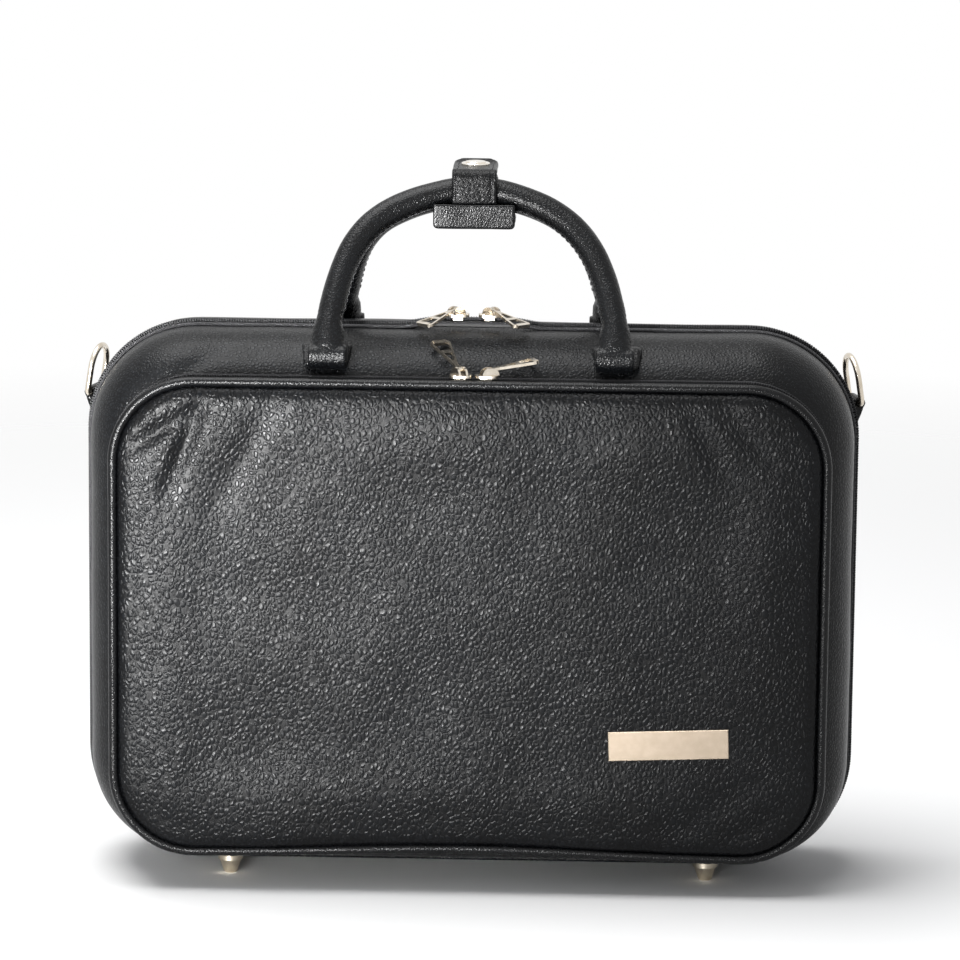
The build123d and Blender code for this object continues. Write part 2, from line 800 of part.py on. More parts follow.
def snap_cap_piece():
    """Domed cap on top of the flap with a raised ring and a post through the leather."""
    with BuildPart() as cap:
        with Locations((0, snap_y, flap_top)):
            Cylinder(snap_ring_radius, snap_ring_height, align=on_top)
        fillet(cap.edges().group_by(Axis.Z)[-1], snap_ring_height / 2)
        with Locations((0, snap_y, flap_top + snap_ring_height)):
            Cylinder(snap_button_radius, snap_button_height, align=on_top)
        fillet(cap.edges().group_by(Axis.Z)[-1], snap_button_height / 2)
        with Locations((0, snap_y, flap_bottom)):
            Cylinder(snap_post_radius, strap_wall, align=on_top)
    return cap


def snap_socket_piece():
    """Ring under the flap that clips over the stud."""
    with BuildPart() as socket:
        with Locations((0, snap_y, socket_bottom)):
            Cylinder(socket_radius, flap_bottom - socket_bottom, align=on_top)
            Cylinder(stud_radius + stud_play, band_top_height + stud_height + socket_gap - socket_bottom,
                     align=on_top, mode=Mode.SUBTRACT)
    return socket


def snap_stud_piece():
    """Stud on the rear band that the socket clips over."""
    with BuildPart() as stud:
        with Locations((0, snap_y, band_top_height)):
            Cylinder(stud_radius, stud_height, align=on_top)
        fillet(stud.edges().group_by(Axis.Z)[-1], stud_radius / 6)
    return stud


lip_back = lip_front + wrap_pad_lip
front_pad_section = (
    (lip_front, pad_bottom), (zip_y + wrap_pad_split, pad_bottom), (zip_y + wrap_pad_split, pad_floor),
    (lip_back, pad_floor), (lip_back, lip_top), (lip_front, lip_top),
)
rear_pad_front = zip_y + wrap_pad_split + wrap_pad_gap
rear_pad_section = (
    (rear_pad_front, pad_bottom), (flap_back, pad_bottom), (flap_back, pad_floor), (rear_pad_front, pad_floor),
)
keep(wrap_pad_piece(front_pad_section), "wrap_pad")
keep(wrap_pad_piece(rear_pad_section), "wrap_rear_pad")
keep(front_strap_piece(), "wrap_front_strap")
keep(flap_piece(), "wrap_flap")
keep(rear_band_piece(), "rear_wrap_band")
keep(snap_cap_piece(), "snap_cap")
keep(snap_socket_piece(), "snap_socket")
keep(snap_stud_piece(), "snap_stud")


# ---------------------------------------------------------------- strap rings
def side_offset(height):
    """How far the rounded corner draws the side in from the full width at a height."""
    above = max(0.0, height - (body_top - body_corner))
    return body_corner - sqrt(body_corner ** 2 - above ** 2)


ring_bar_x = body_width / 2 - side_offset(ring_height) + ring_bar_standoff
ring_y = zip_y + ring_setback


def ring_directions(towards):
    """Level directions of a ring: outwards from the case, and along its bar towards the back."""
    turn = radians(ring_turn)
    return Vector(towards * cos(turn), sin(turn), 0), Vector(-towards * sin(turn), cos(turn), 0)


def ring_piece(towards):
    """D-shaped ring on its bar, leaning inwards over the corner of the case."""
    half = ring_inside_width / 2 + ring_wire
    height = ring_inside_height + 2 * ring_wire
    outwards, bar = ring_directions(towards)
    up = Vector(0, 0, 1) * cos(radians(ring_lean)) - outwards * sin(radians(ring_lean))
    plane = Plane(origin=(towards * ring_bar_x, ring_y, ring_height), x_dir=bar, z_dir=bar.cross(up))
    with BuildPart() as ring:
        with BuildLine(plane) as route:
            FilletPolyline((0, 0), (half, 0), (half, height - half), radius=ring_corner)
            ThreePointArc((half, height - half), (0, height), (-half, height - half))
            FilletPolyline((-half, height - half), (-half, 0), (0, 0), radius=ring_corner)
        with BuildSketch(Plane(origin=route.line @ 0, z_dir=route.line % 0)):
            Circle(ring_wire)
        sweep(path=route.line)
    return ring


def ring_tab_piece(towards):
    """Leather tab sewn to the side, folded round the ring's bar."""
    eye = ring_wire + tab_play
    roll = eye + tab_wall
    outwards, bar = ring_directions(towards)
    leather = half_block(REAR, -glue_gap)
    with BuildPart() as tab:
        centre = (towards * ring_bar_x, ring_y, ring_height)
        eye_plane = Plane(origin=centre, x_dir=outwards, z_dir=bar * -towards)
        with BuildSketch(eye_plane):
            Circle(roll)
            with BuildLine():
                Polyline((roll, 0), (-roll - ring_bar_standoff, 0), (-roll - ring_bar_standoff, -tab_drop),
                         (tab_wall - ring_bar_standoff, -tab_drop), close=True)
            make_face()
            Circle(eye, mode=Mode.SUBTRACT)
        extrude(amount=tab_width / 2, both=True)
        add(leather, mode=Mode.SUBTRACT)
    return tab


for towards, name in ((-1, "left"), (1, "right")):
    keep(ring_piece(towards), f"strap_ring_{name}")
    keep(ring_tab_piece(towards), f"ring_tab_{name}")
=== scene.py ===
from math import cos, exp, pi, radians, sin, sqrt
import bpy
import bmesh
from mathutils import Matrix, Vector, noise


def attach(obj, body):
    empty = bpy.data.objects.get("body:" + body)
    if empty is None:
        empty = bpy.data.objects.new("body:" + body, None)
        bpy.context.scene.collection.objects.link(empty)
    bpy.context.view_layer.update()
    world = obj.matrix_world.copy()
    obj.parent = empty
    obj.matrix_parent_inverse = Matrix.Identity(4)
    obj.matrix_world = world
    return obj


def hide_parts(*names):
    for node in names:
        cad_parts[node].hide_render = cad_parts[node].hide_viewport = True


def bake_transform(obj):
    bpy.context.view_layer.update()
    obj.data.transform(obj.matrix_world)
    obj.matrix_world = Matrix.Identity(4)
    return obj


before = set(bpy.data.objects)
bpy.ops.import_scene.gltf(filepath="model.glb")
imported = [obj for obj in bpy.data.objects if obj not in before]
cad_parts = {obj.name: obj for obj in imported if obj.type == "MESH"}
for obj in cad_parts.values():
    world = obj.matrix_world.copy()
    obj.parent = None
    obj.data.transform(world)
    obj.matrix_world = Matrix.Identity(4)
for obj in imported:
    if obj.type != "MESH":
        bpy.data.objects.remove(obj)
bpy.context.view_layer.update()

# Clarinet case in metres: +X to the right, +Y to the back, +Z up, standing on its feet.
MM = 0.001
zip_y = 3.257 * MM
body_low = 8 * MM
body_high = 272.5 * MM
body_mid = (body_low + body_high) / 2
body_width = 375 * MM
body_height = body_high - body_low
body_corner = 52 * MM
front_depth = 46 * MM
rear_depth = 50 * MM
body_edge = 32 * MM
cover_wall = 1.6 * MM
half_gap = 0.2 * MM

pocket_width = 350 * MM
pocket_height = 238.5 * MM
pocket_corner = 42 * MM
pocket_low = 17.5 * MM
pocket_mid = pocket_low + pocket_height / 2
pocket_zip_low = 190 * MM
panel_back = zip_y - 58 * MM
panel_front = zip_y - 64 * MM
welt_y = zip_y - 58.8 * MM
pocket_seam = zip_y - 52 * MM

handle_top = {"front": 341.5 * MM, "rear": 337.5 * MM}
handle_span = {"front": 70.5 * MM, "rear": 66.8 * MM}
handle_side = {"front": -1, "rear": 1}
handle_foot_y = {"front": zip_y - 48.486 * MM, "rear": zip_y + 52.486 * MM}
handle_foot_z = 264.647 * MM
tube_setback = 8 * MM

wrap_front = zip_y - 15 * MM
flap_mid = 351.25 * MM
flap_back = zip_y + 17 * MM
strap_width = 22 * MM
strap_wall = 2.5 * MM
wrap_low = 335.5 * MM


# ------------------------------------------------------------------ working by hand
def fresh():
    """Back to object mode with nothing selected."""
    if bpy.context.object and bpy.context.object.mode != "OBJECT":
        bpy.ops.object.mode_set(mode="OBJECT")
    bpy.ops.object.select_all(action="DESELECT")


def hold(piece):
    """Make one piece the only one selected and active."""
    fresh()
    piece.select_set(True)
    bpy.context.view_layer.objects.active = piece


def started(name):
    """Name the primitive just added and settle its place in its mesh."""
    piece = bpy.context.object
    piece.name = name
    piece.data.name = name
    bpy.ops.object.transform_apply(location=True, rotation=True, scale=True)
    return piece


def pick(piece, kind, test):
    """In edit mode, select the vertices, edges or faces that pass a test of their place."""
    bpy.ops.mesh.select_mode(type=kind)
    bpy.ops.mesh.select_all(action="DESELECT")
    mesh = bmesh.from_edit_mesh(piece.data)
    for part in {"VERT": mesh.verts, "EDGE": mesh.edges, "FACE": mesh.faces}[kind]:
        if test(part):
            part.select_set(True)
    bmesh.update_edit_mesh(piece.data)


def with_modifier(piece, kind, **settings):
    """Add one modifier, set it and apply it."""
    hold(piece)
    modifier = piece.modifiers.new(kind.lower(), kind)
    for setting, value in settings.items():
        setattr(modifier, setting, value)
    bpy.ops.object.modifier_apply(modifier=modifier.name)


def press(piece, shape):
    """Move each vertex by what shape gives for its place and normal."""
    places = [(vertex.co.copy(), vertex.normal.copy()) for vertex in piece.data.vertices]
    moved = [place + shape(place, normal) for place, normal in places]
    piece.data.vertices.foreach_set("co", [number for place in moved for number in place])
    piece.data.update()


def round_off(piece, angle=50):
    """Smooth shading with edges sharper than the angle kept."""
    hold(piece)
    bpy.ops.object.shade_smooth_by_angle(angle=radians(angle))


def give(piece, material, body, *nodes):
    """Finish a piece: its material, the body it rides on and the CAD nodes it stands for."""
    piece.data.materials.clear()
    piece.data.materials.append(material)
    if body:
        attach(piece, body)
    if nodes:
        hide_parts(*nodes)
    return piece


def runs_along(edge, axis):
    """Whether an edge runs along one axis."""
    first, second = (vertex.co for vertex in edge.verts)
    gap = second - first
    return abs(gap[axis]) > 0.999 * gap.length


def rounded_block(name, width, height, corner, mid_z, y_flat, y_round, edge):
    """Block with rounded upright corners whose rim is rounded over at y_round."""
    fresh()
    bpy.ops.mesh.primitive_cube_add(size=1, location=(0, (y_flat + y_round) / 2, mid_z))
    bpy.context.object.scale = (width, abs(y_round - y_flat), height)
    block = started(name)
    bpy.ops.object.mode_set(mode="EDIT")
    pick(block, "EDGE", lambda each: runs_along(each, 1))
    bpy.ops.mesh.bevel(offset=corner, segments=16, affect="EDGES")
    pick(block, "EDGE", lambda each: all(abs(v.co.y - y_round) < 1e-5 for v in each.verts))
    bpy.ops.mesh.bevel(offset=edge, segments=10, affect="EDGES")
    fresh()
    return block


def even_out(piece, voxel, rounds):
    """Remesh to an even net and relax it, as upholstery smooths a hard form."""
    with_modifier(piece, "REMESH", mode="VOXEL", voxel_size=voxel, use_smooth_shade=True)
    with_modifier(piece, "SMOOTH", factor=0.5, iterations=rounds)


def trim(piece, point, normal):
    """Cut a piece along a plane and keep what lies behind the normal."""
    hold(piece)
    bpy.ops.object.mode_set(mode="EDIT")
    bpy.ops.mesh.select_all(action="SELECT")
    bpy.ops.mesh.bisect(plane_co=point, plane_no=normal, clear_outer=True, use_fill=False)
    fresh()


def softened(node, name, voxel, rounds):
    """Upholstered copy of a CAD solid: merged, remeshed and relaxed."""
    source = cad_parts[node]
    fresh()
    piece = source.copy()
    piece.data = source.data.copy()
    piece.name = name
    piece.data.name = name
    piece.parent = None
    bpy.context.scene.collection.objects.link(piece)
    piece.hide_render = False
    hold(piece)
    bpy.ops.object.mode_set(mode="EDIT")
    bpy.ops.mesh.select_all(action="SELECT")
    bpy.ops.mesh.remove_doubles(threshold=2e-6)
    fresh()
    even_out(piece, voxel, rounds)
    return piece


def copies(name, model, places):
    """One mesh with a copy of the model at each place; the model goes."""
    mesh = bmesh.new()
    for place in places:
        first = len(mesh.verts)
        mesh.from_mesh(model.data)
        mesh.verts.ensure_lookup_table()
        bmesh.ops.transform(mesh, matrix=place, verts=mesh.verts[first:])
    data = bpy.data.meshes.new(name)
    mesh.to_mesh(data)
    mesh.free()
    piece = bpy.data.objects.new(name, data)
    bpy.context.scene.collection.objects.link(piece)
    bpy.data.objects.remove(model)
    return piece


# ------------------------------------------------------------------ outlines and walks along them
def rim(width, height, corner, mid_z):
    """Outline of a rounded rectangle as (x, z), from the middle of its bottom round by the left."""
    half_w, half_h = width / 2 - corner, height / 2 - corner
    line = [Vector((0, mid_z - height / 2))]
    for side_x, side_z, first in ((-1, -1, 270), (-1, 1, 180), (1, 1, 90), (1, -1, 0)):
        for step in range(0, 91, 5):
            turn = radians(first - step)
            across, high = corner * cos(turn), corner * sin(turn)
            line.append(Vector((side_x * half_w + across, mid_z + side_z * half_h + high)))
    line.append(line[0].copy())
    return line


def walk(line, pitch, start=0.0, offset=0.0):
    """Even steps along an outline: (place, direction) pairs, leaving out start at both ends."""
    lengths = [0.0]
    for first, second in zip(line, line[1:]):
        lengths.append(lengths[-1] + (second - first).length)
    count = int((lengths[-1] - 2 * start) / pitch)
    steps = []
    part = 0
    for number in range(count + 1):
        reach = start + (number + offset) * pitch
        if reach > lengths[-1] - start:
            break
        while lengths[part + 1] < reach and part < len(line) - 2:
            part += 1
        share = (reach - lengths[part]) / (lengths[part + 1] - lengths[part])
        steps.append((line[part].lerp(line[part + 1], share), (line[part + 1] - line[part]).normalized()))
    return steps


def zip_rise(x, z):
    """Low rise of the main zip under its two sliders."""
    share = max(0.0, min(1.0, (37 * MM - abs(x)) / (20 * MM)))
    return 2.4 * MM * share * share * (3 - 2 * share) if z > body_mid else 0.0


def pocket_sag(x, z):
    """The bottom of the pocket bows up a little in its middle."""
    share = max(0.0, 1 - (z - pocket_low) / (55 * MM))
    return 3.6 * MM * exp(-(x / (85 * MM)) ** 2) * share * share * (3 - 2 * share)


def level(x, z):
    """No rise anywhere."""
    return 0.0


def ribbon(name, steps, y_near, y_far, rise, wall):
    """Band that follows a walk, pulled from y_near to y_far and given a wall."""
    data = bpy.data.meshes.new(name)
    places = [(p.x, y_near, p.y + rise(p.x, p.y)) for p, direction in steps]
    data.from_pydata(places, [(n, n + 1) for n in range(len(places) - 1)], [])
    band = bpy.data.objects.new(name, data)
    bpy.context.scene.collection.objects.link(band)
    hold(band)
    bpy.ops.object.mode_set(mode="EDIT")
    bpy.ops.mesh.select_mode(type="EDGE")
    bpy.ops.mesh.select_all(action="SELECT")
    for step in range(4):
        move = (0, (y_far - y_near) / 4, 0)
        bpy.ops.mesh.extrude_region_move(TRANSFORM_OT_translate={"value": move})
    bpy.ops.mesh.select_all(action="SELECT")
    bpy.ops.mesh.normals_make_consistent(inside=False)
    fresh()
    with_modifier(band, "SOLIDIFY", thickness=wall, offset=0.0)
    with_modifier(band, "BEVEL", width=0.22 * wall, segments=2, limit_method="ANGLE")
    round_off(band)
    return band


def tooth_model(along, across, tall):
    """One link of nylon coil: a rounded bar with a swollen head, lying across the seam."""
    fresh()
    bpy.ops.mesh.primitive_cube_add(size=1, location=(0, 0, tall / 2))
    bpy.context.object.scale = (along, across, tall)
    tooth = started("tooth")
    bpy.ops.object.mode_set(mode="EDIT")
    pick(tooth, "FACE", lambda face: face.normal.z > 0.9)
    bpy.ops.mesh.inset(thickness=along * 0.22)
    bpy.ops.transform.translate(value=(0, 0, tall * 0.22))
    fresh()
    return tooth


def seam_places(steps, y, rise):
    """Frames that stand things on the outside of an outline at depth y."""
    places = []
    for place, direction in steps:
        outwards = Vector((-direction.y, 0, direction.x))
        along = Vector((direction.x, 0, direction.y))
        across = outwards.cross(along)
        turn = Matrix((along, across, outwards)).transposed().to_4x4()
        turn.translation = Vector((place.x, y, place.y + rise(place.x, place.y)))
        places.append(turn)
    return places


def stitch_model():
    """One sewn stitch: a short thread that dips at both ends."""
    fresh()
    bpy.ops.mesh.primitive_cube_add(size=1)
    bpy.context.object.scale = (1.9 * MM, 0.5 * MM, 0.42 * MM)
    stitch = started("stitch")
    bpy.ops.object.mode_set(mode="EDIT")
    bpy.ops.mesh.select_all(action="SELECT")
    bpy.ops.mesh.bevel(offset=0.13 * MM, segments=1, affect="EDGES")
    pick(stitch, "VERT", lambda vertex: abs(vertex.co.x) > 0.9 * MM)
    bpy.ops.transform.translate(value=(0, 0, -0.16 * MM))
    fresh()
    return stitch


def sewn(name, runs, pitch, body):
    """Stitches along straight or curved runs of points, each run with its outward direction."""
    places = []
    for points, outwards in runs:
        outwards = Vector(outwards).normalized()
        for first, second in zip(points, points[1:]):
            first, second = Vector(first), Vector(second)
            count = max(1, int((second - first).length / pitch))
            along = (second - first).normalized()
            up = (outwards - along * outwards.dot(along)).normalized()
            turn = Matrix((along, up.cross(along), up)).transposed().to_4x4()
            for number in range(count):
                turn.translation = first.lerp(second, (number + 0.5) / count)
                places.append(turn.copy())
    line = copies(name, stitch_model(), places)
    round_off(line)
    return give(line, thread, body)


# ------------------------------------------------------------------ materials
def painted(name):
    """New node material, its tree and its shader."""
    material = bpy.data.materials.new(name)
    material.use_nodes = True
    return material, material.node_tree, material.node_tree.nodes["Principled BSDF"]


def node(tree, kind, links=(), **settings):
    """Add a node, set its sockets or properties by name, and link its inputs."""
    made = tree.nodes.new("ShaderNode" + kind)
    for setting, value in settings.items():
        if hasattr(made, setting):
            setattr(made, setting, value)
        else:
            made.inputs[setting.replace("_", " ").title()].default_value = value
    for socket, source in links:
        tree.links.new(source, made.inputs[socket])
    return made


def bumpy(tree, shader, height, strength, distance):
    """Let a height stand out of a shader's surface."""
    bump = node(tree, "Bump", [("Height", height)], strength=strength, distance=distance)
    tree.links.new(bump.outputs[0], shader.inputs["Normal"])


def blend_of(tree, dark, light, share):
    """Colour between dark and light."""
    mixer = node(tree, "Mix", data_type="RGBA")
    mixer.inputs[6].default_value = (*dark, 1)
    mixer.inputs[7].default_value = (*light, 1)
    tree.links.new(share, mixer.inputs[0])
    return mixer.outputs[2]


def spread(tree, source, low, high, to_low, to_high):
    """Value source stretched from low..high to to_low..to_high, clamped."""
    ranger = node(tree, "MapRange")
    for number, value in enumerate((low, high, to_low, to_high), 1):
        ranger.inputs[number].default_value = value
    tree.links.new(source, ranger.inputs[0])
    return ranger.outputs[0]


def warped(tree, scale, amount, turn, stretch):
    """Object coordinates turned, stretched and bent by noise, so that cells are never regular."""
    coords = node(tree, "TexCoord")
    mapping = node(tree, "Mapping", [(0, coords.outputs["Object"])])
    mapping.inputs["Rotation"].default_value = turn
    mapping.inputs["Scale"].default_value = stretch
    wander = node(tree, "TexNoise", [("Vector", mapping.outputs[0])], scale=scale, detail=2)
    shift = node(tree, "VectorMath", [(0, wander.outputs["Color"])], operation="SUBTRACT")
    shift.inputs[1].default_value = (0.5, 0.5, 0.5)
    sized = node(tree, "VectorMath", [(0, shift.outputs[0])], operation="SCALE")
    sized.inputs["Scale"].default_value = amount
    bent = node(tree, "VectorMath", [(0, mapping.outputs[0]), (1, sized.outputs[0])], operation="ADD")
    return bent.outputs[0]


def join(tree, first, second, share):
    """first plus second times share."""
    adder = node(tree, "Math", operation="MULTIPLY_ADD")
    tree.links.new(second, adder.inputs[0])
    adder.inputs[1].default_value = share
    tree.links.new(first, adder.inputs[2])
    return adder.outputs[0]


def pebble_leather(
    name, cells, depth, tops, crease_shade, shine, dull, specular, turn=(0, 0, 0), stretch=(1, 1, 1)
):
    """Pebble-grained leather: rounded cells, painted shade in the creases between them, fine pores and
    slow changes of tone.
    """
    material, tree, shader = painted(name)
    bent = warped(tree, cells * 0.4, 1.0 / cells, turn, stretch)
    grain = node(tree, "TexVoronoi", [("Vector", bent)], feature="DISTANCE_TO_EDGE", scale=cells)
    pebble = node(tree, "MapRange", [(0, grain.outputs["Distance"])], interpolation_type="SMOOTHERSTEP")
    pebble.inputs[2].default_value = 0.34
    dome = node(tree, "TexVoronoi", [("Vector", bent)], feature="SMOOTH_F1", scale=cells, smoothness=0.4)
    each = node(tree, "SeparateColor", [(0, dome.outputs["Color"])])
    fine = node(tree, "TexNoise", [("Vector", bent)], scale=cells * 5, detail=4, roughness=0.6)
    slow = node(tree, "TexNoise", [("Vector", bent)], scale=cells * 0.05, detail=3)
    height = join(tree, pebble.outputs[0], dome.outputs["Distance"], -0.6)
    height = join(tree, height, fine.outputs[0], 0.05)
    bumpy(tree, shader, height, 1.0, depth)
    # The base colour darkens towards each cell's edge as painted shade in the creases between pebbles,
    # plus a random tone for each cell and a slow random change of tone.
    tone = join(tree, pebble.outputs[0], each.outputs[0], 0.4)
    tone = join(tree, tone, spread(tree, slow.outputs[0], 0.3, 0.7, -0.5, 0.5), 0.6)
    tone = spread(tree, tone, 0.0, 1.5, 0.0, 1.0)
    tree.links.new(blend_of(tree, crease_shade, tops, tone), shader.inputs["Base Color"])
    gloss = join(tree, pebble.outputs[0], slow.outputs[0], 0.5)
    tree.links.new(spread(tree, gloss, 0.1, 1.4, dull, shine), shader.inputs["Roughness"])
    shader.inputs["Specular IOR Level"].default_value = specular
    return material


def plush(name, colour, lighter):
    """Short pile: tufts, lie of the pile and a soft sheen."""
    material, tree, shader = painted(name)
    bent = warped(tree, 60, 0.004, (0, 0, 0), (1, 1, 1))
    tufts = node(tree, "TexNoise", [("Vector", bent)], scale=1400, detail=3, roughness=0.7)
    lie = node(tree, "TexNoise", [("Vector", bent)], scale=38, detail=3)
    tone = join(tree, tufts.outputs[0], lie.outputs[0], 0.8)
    tone = spread(tree, tone, 0.6, 1.2, 0, 1)
    tree.links.new(blend_of(tree, colour, lighter, tone), shader.inputs["Base Color"])
    bumpy(tree, shader, tufts.outputs[0], 0.8, 0.4 * MM)
    tree.links.new(spread(tree, lie.outputs[0], 0.3, 0.7, 0.95, 0.8), shader.inputs["Roughness"])
    shader.inputs["Sheen Weight"].default_value = 0.35
    shader.inputs["Sheen Roughness"].default_value = 0.5
    shader.inputs["Specular IOR Level"].default_value = 0.25
    return material


def woven(name, threads, colour, lighter, depth):
    """Close weave of crossing threads, with the odd paler thread."""
    material, tree, shader = painted(name)
    coords = node(tree, "TexCoord").outputs["Object"]
    waves = []
    for direction in ("X", "Y", "Z"):
        wave = node(tree, "TexWave", [("Vector", coords)], bands_direction=direction, scale=threads)
        wave.inputs["Distortion"].default_value = 0.6
        waves.append(wave.outputs["Fac"])
    weave = join(tree, waves[0], waves[1], 1.0)
    weave = join(tree, weave, waves[2], 1.0)
    fuzz = node(tree, "TexNoise", [("Vector", coords)], scale=threads * 2, detail=3)
    weave = join(tree, weave, fuzz.outputs[0], 0.8)
    tone = spread(tree, weave, 0.6, 2.9, 0, 1)
    tree.links.new(blend_of(tree, colour, lighter, tone), shader.inputs["Base Color"])
    bumpy(tree, shader, weave, 0.8, depth)
    tree.links.new(spread(tree, fuzz.outputs[0], 0.3, 0.7, 0.85, 0.65), shader.inputs["Roughness"])
    return material


def metal(name, colour, worn, shine, scratch_scale, stretch=(1, 1, 1), depth=0.012 * MM):
    """Plated metal: slight clouding, fine scratches along its brushing and a duller worn tone."""
    material, tree, shader = painted(name)
    coords = node(tree, "TexCoord").outputs["Object"]
    mapping = node(tree, "Mapping", [(0, coords)])
    mapping.inputs["Scale"].default_value = stretch
    scratches = node(tree, "TexNoise", [("Vector", mapping.outputs[0])], scale=scratch_scale, detail=4)
    scratches.inputs["Roughness"].default_value = 0.7
    cloud = node(tree, "TexNoise", [("Vector", coords)], scale=160, detail=3)
    share = spread(tree, cloud.outputs[0], 0.35, 0.75, 0, 1)
    tree.links.new(blend_of(tree, colour, worn, share), shader.inputs["Base Color"])
    gloss = join(tree, scratches.outputs[0], cloud.outputs[0], 0.6)
    tree.links.new(spread(tree, gloss, 0.4, 1.2, shine * 0.75, shine * 1.45), shader.inputs["Roughness"])
    bumpy(tree, shader, scratches.outputs[0], 0.5, depth)
    shader.inputs["Metallic"].default_value = 1.0
    return material


def plain_grain(name, colour, lighter, scale, depth, rough, specular=0.5):
    """Even moulded or spun surface with a fine grain."""
    material, tree, shader = painted(name)
    coords = node(tree, "TexCoord").outputs["Object"]
    grain = node(tree, "TexNoise", [("Vector", coords)], scale=scale, detail=4, roughness=0.6)
    slow = node(tree, "TexNoise", [("Vector", coords)], scale=scale * 0.06, detail=2)
    tone = join(tree, grain.outputs[0], slow.outputs[0], 1.0)
    tone = spread(tree, tone, 0.7, 1.3, 0, 1)
    tree.links.new(blend_of(tree, colour, lighter, tone), shader.inputs["Base Color"])
    bumpy(tree, shader, grain.outputs[0], 0.7, depth)
    gloss = spread(tree, grain.outputs[0], 0.3, 0.7, rough + 0.08, rough - 0.08)
    tree.links.new(gloss, shader.inputs["Roughness"])
    shader.inputs["Specular IOR Level"].default_value = specular
    return material


def rope_twist(name):
    """Twisted pale cotton rope."""
    material, tree, shader = painted(name)
    coords = node(tree, "TexCoord").outputs["Object"]
    strands = node(tree, "TexWave", [("Vector", coords)], bands_direction="DIAGONAL", scale=180)
    strands.inputs["Distortion"].default_value = 2.0
    fuzz = node(tree, "TexNoise", [("Vector", coords)], scale=2600, detail=3)
    tone = join(tree, strands.outputs["Fac"], fuzz.outputs[0], 0.5)
    colour = blend_of(tree, (0.2, 0.18, 0.14), (0.52, 0.49, 0.42), spread(tree, tone, 0.2, 1.3, 0, 1))
    tree.links.new(colour, shader.inputs["Base Color"])
    bumpy(tree, shader, tone, 0.8, 0.4 * MM)
    shader.inputs["Roughness"].default_value = 0.85
    return material


# Each leather: cells per metre, depth, tops, crease shade (painted shade in the creases between pebbles),
# shine, dull and specular.
panel_leather = pebble_leather(
    "leather_panel", 470, 0.15 * MM, (0.0036, 0.0041, 0.005), (0.0006, 0.0006, 0.0008), 0.27, 0.40, 0.13,
    turn=(0, radians(-38), 0), stretch=(1.0, 1.0, 0.74),
)
# The cover's leather is the panel's black leather painted paler, as painted light for the brightly lit top
# of the shell; it also dresses the pocket's sides and the leftover CAD leather.
cover_leather_painted_paler = pebble_leather(
    "leather_cover_painted_paler", 600, 0.09 * MM, (0.0045, 0.0052, 0.0062), (0.0009, 0.0009, 0.0011), 0.25, 0.38, 0.17
)
handle_leather = pebble_leather(
    "leather_handle", 660, 0.08 * MM, (0.004, 0.0047, 0.0056), (0.0008, 0.0008, 0.001), 0.22, 0.36, 0.2
)
strip_leather = pebble_leather(
    "leather_strip", 640, 0.1 * MM, (0.0036, 0.004, 0.0048), (0.0008, 0.0008, 0.001), 0.24, 0.38, 0.17
)
welt_leather = pebble_leather(
    "leather_welt", 800, 0.05 * MM, (0.0034, 0.0038, 0.0046), (0.0008, 0.0008, 0.001), 0.22, 0.34, 0.2
)
smooth_leather = pebble_leather(
    "leather_smooth", 900, 0.03 * MM, (0.003, 0.0034, 0.004), (0.0012, 0.0012, 0.0015), 0.18, 0.3, 0.2
)
lining_plush = plush("plush_lining", (0.016, 0.016, 0.018), (0.05, 0.05, 0.056))
insert_plush = plush("plush_insert", (0.02, 0.02, 0.022), (0.062, 0.062, 0.068))
tape_cloth = woven("zip_tape_weave", 900, (0.008, 0.008, 0.009), (0.05, 0.05, 0.054), 0.12 * MM)
coil_nylon = plain_grain(
    "zip_coil_nylon", (0.008, 0.008, 0.009), (0.022, 0.022, 0.024), 4000, 0.03 * MM, 0.5, specular=0.2
)
thread = plain_grain("sewing_thread", (0.012, 0.012, 0.013), (0.05, 0.05, 0.054), 6000, 0.05 * MM, 0.5)
board = plain_grain("moulded_board", (0.035, 0.035, 0.038), (0.07, 0.07, 0.075), 900, 0.12 * MM, 0.7)
rope = rope_twist("rope_core")
gold = metal("pale_gold_plating", (0.74, 0.68, 0.59), (0.58, 0.51, 0.41), 0.2, 900)
snap_gold = metal("snap_plating", (0.88, 0.84, 0.77), (0.72, 0.66, 0.56), 0.15, 1100)
foot_gold = metal("foot_plating", (0.72, 0.65, 0.53), (0.50, 0.43, 0.33), 0.3, 900)
steel = metal("plain_steel", (0.56, 0.56, 0.57), (0.36, 0.35, 0.34), 0.3, 1200)
champagne = metal(
    "brushed_champagne", (0.36, 0.295, 0.23), (0.28, 0.23, 0.175), 0.34, 1500, (0.04, 1, 1), 0.02 * MM
)

finish_of_node = {
    "name_plate": champagne, "plate_pins": steel, "front_foot_screws": steel, "rear_foot_screws": steel,
    "front_feet": foot_gold, "rear_feet": foot_gold, "snap_cap": snap_gold, "snap_socket": snap_gold,
    "snap_stud": snap_gold, "front_core": board, "rear_core": board, "front_handle_core": rope,
    "rear_handle_core": rope,
}
for kind in ("main_slider", "main_pull", "pocket_slider", "pocket_pull", "strap_ring"):
    for side in ("left", "right"):
        finish_of_node[f"{kind}_{side}"] = gold
for name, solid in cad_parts.items():
    finish = finish_of_node.get(name, cover_leather_painted_paler)
    solid.data.materials.clear()
    solid.data.materials.append(finish)


# ------------------------------------------------------------------ leather covers and plush linings
def unrest(co, size, amount, seed):
    """Smooth wandering of a surface, the same on every run."""
    return amount * noise.noise(co / size + Vector((seed, 0.37 * seed, 0)))


def groove(co, start, end, width, depth):
    """Soft valley between two (x, z) points."""
    first, second = Vector(start) * MM, Vector(end) * MM
    along = second - first
    place = Vector((co.x, co.z))
    share = max(0.0, min(1.0, (place - first).dot(along) / along.length_squared))
    gap = (place - first - along * share).length / (width * MM)
    ends = sin(pi * min(1.0, max(0.0, 0.15 + 0.7 * share)))
    return -depth * MM * exp(-gap * gap) * ends


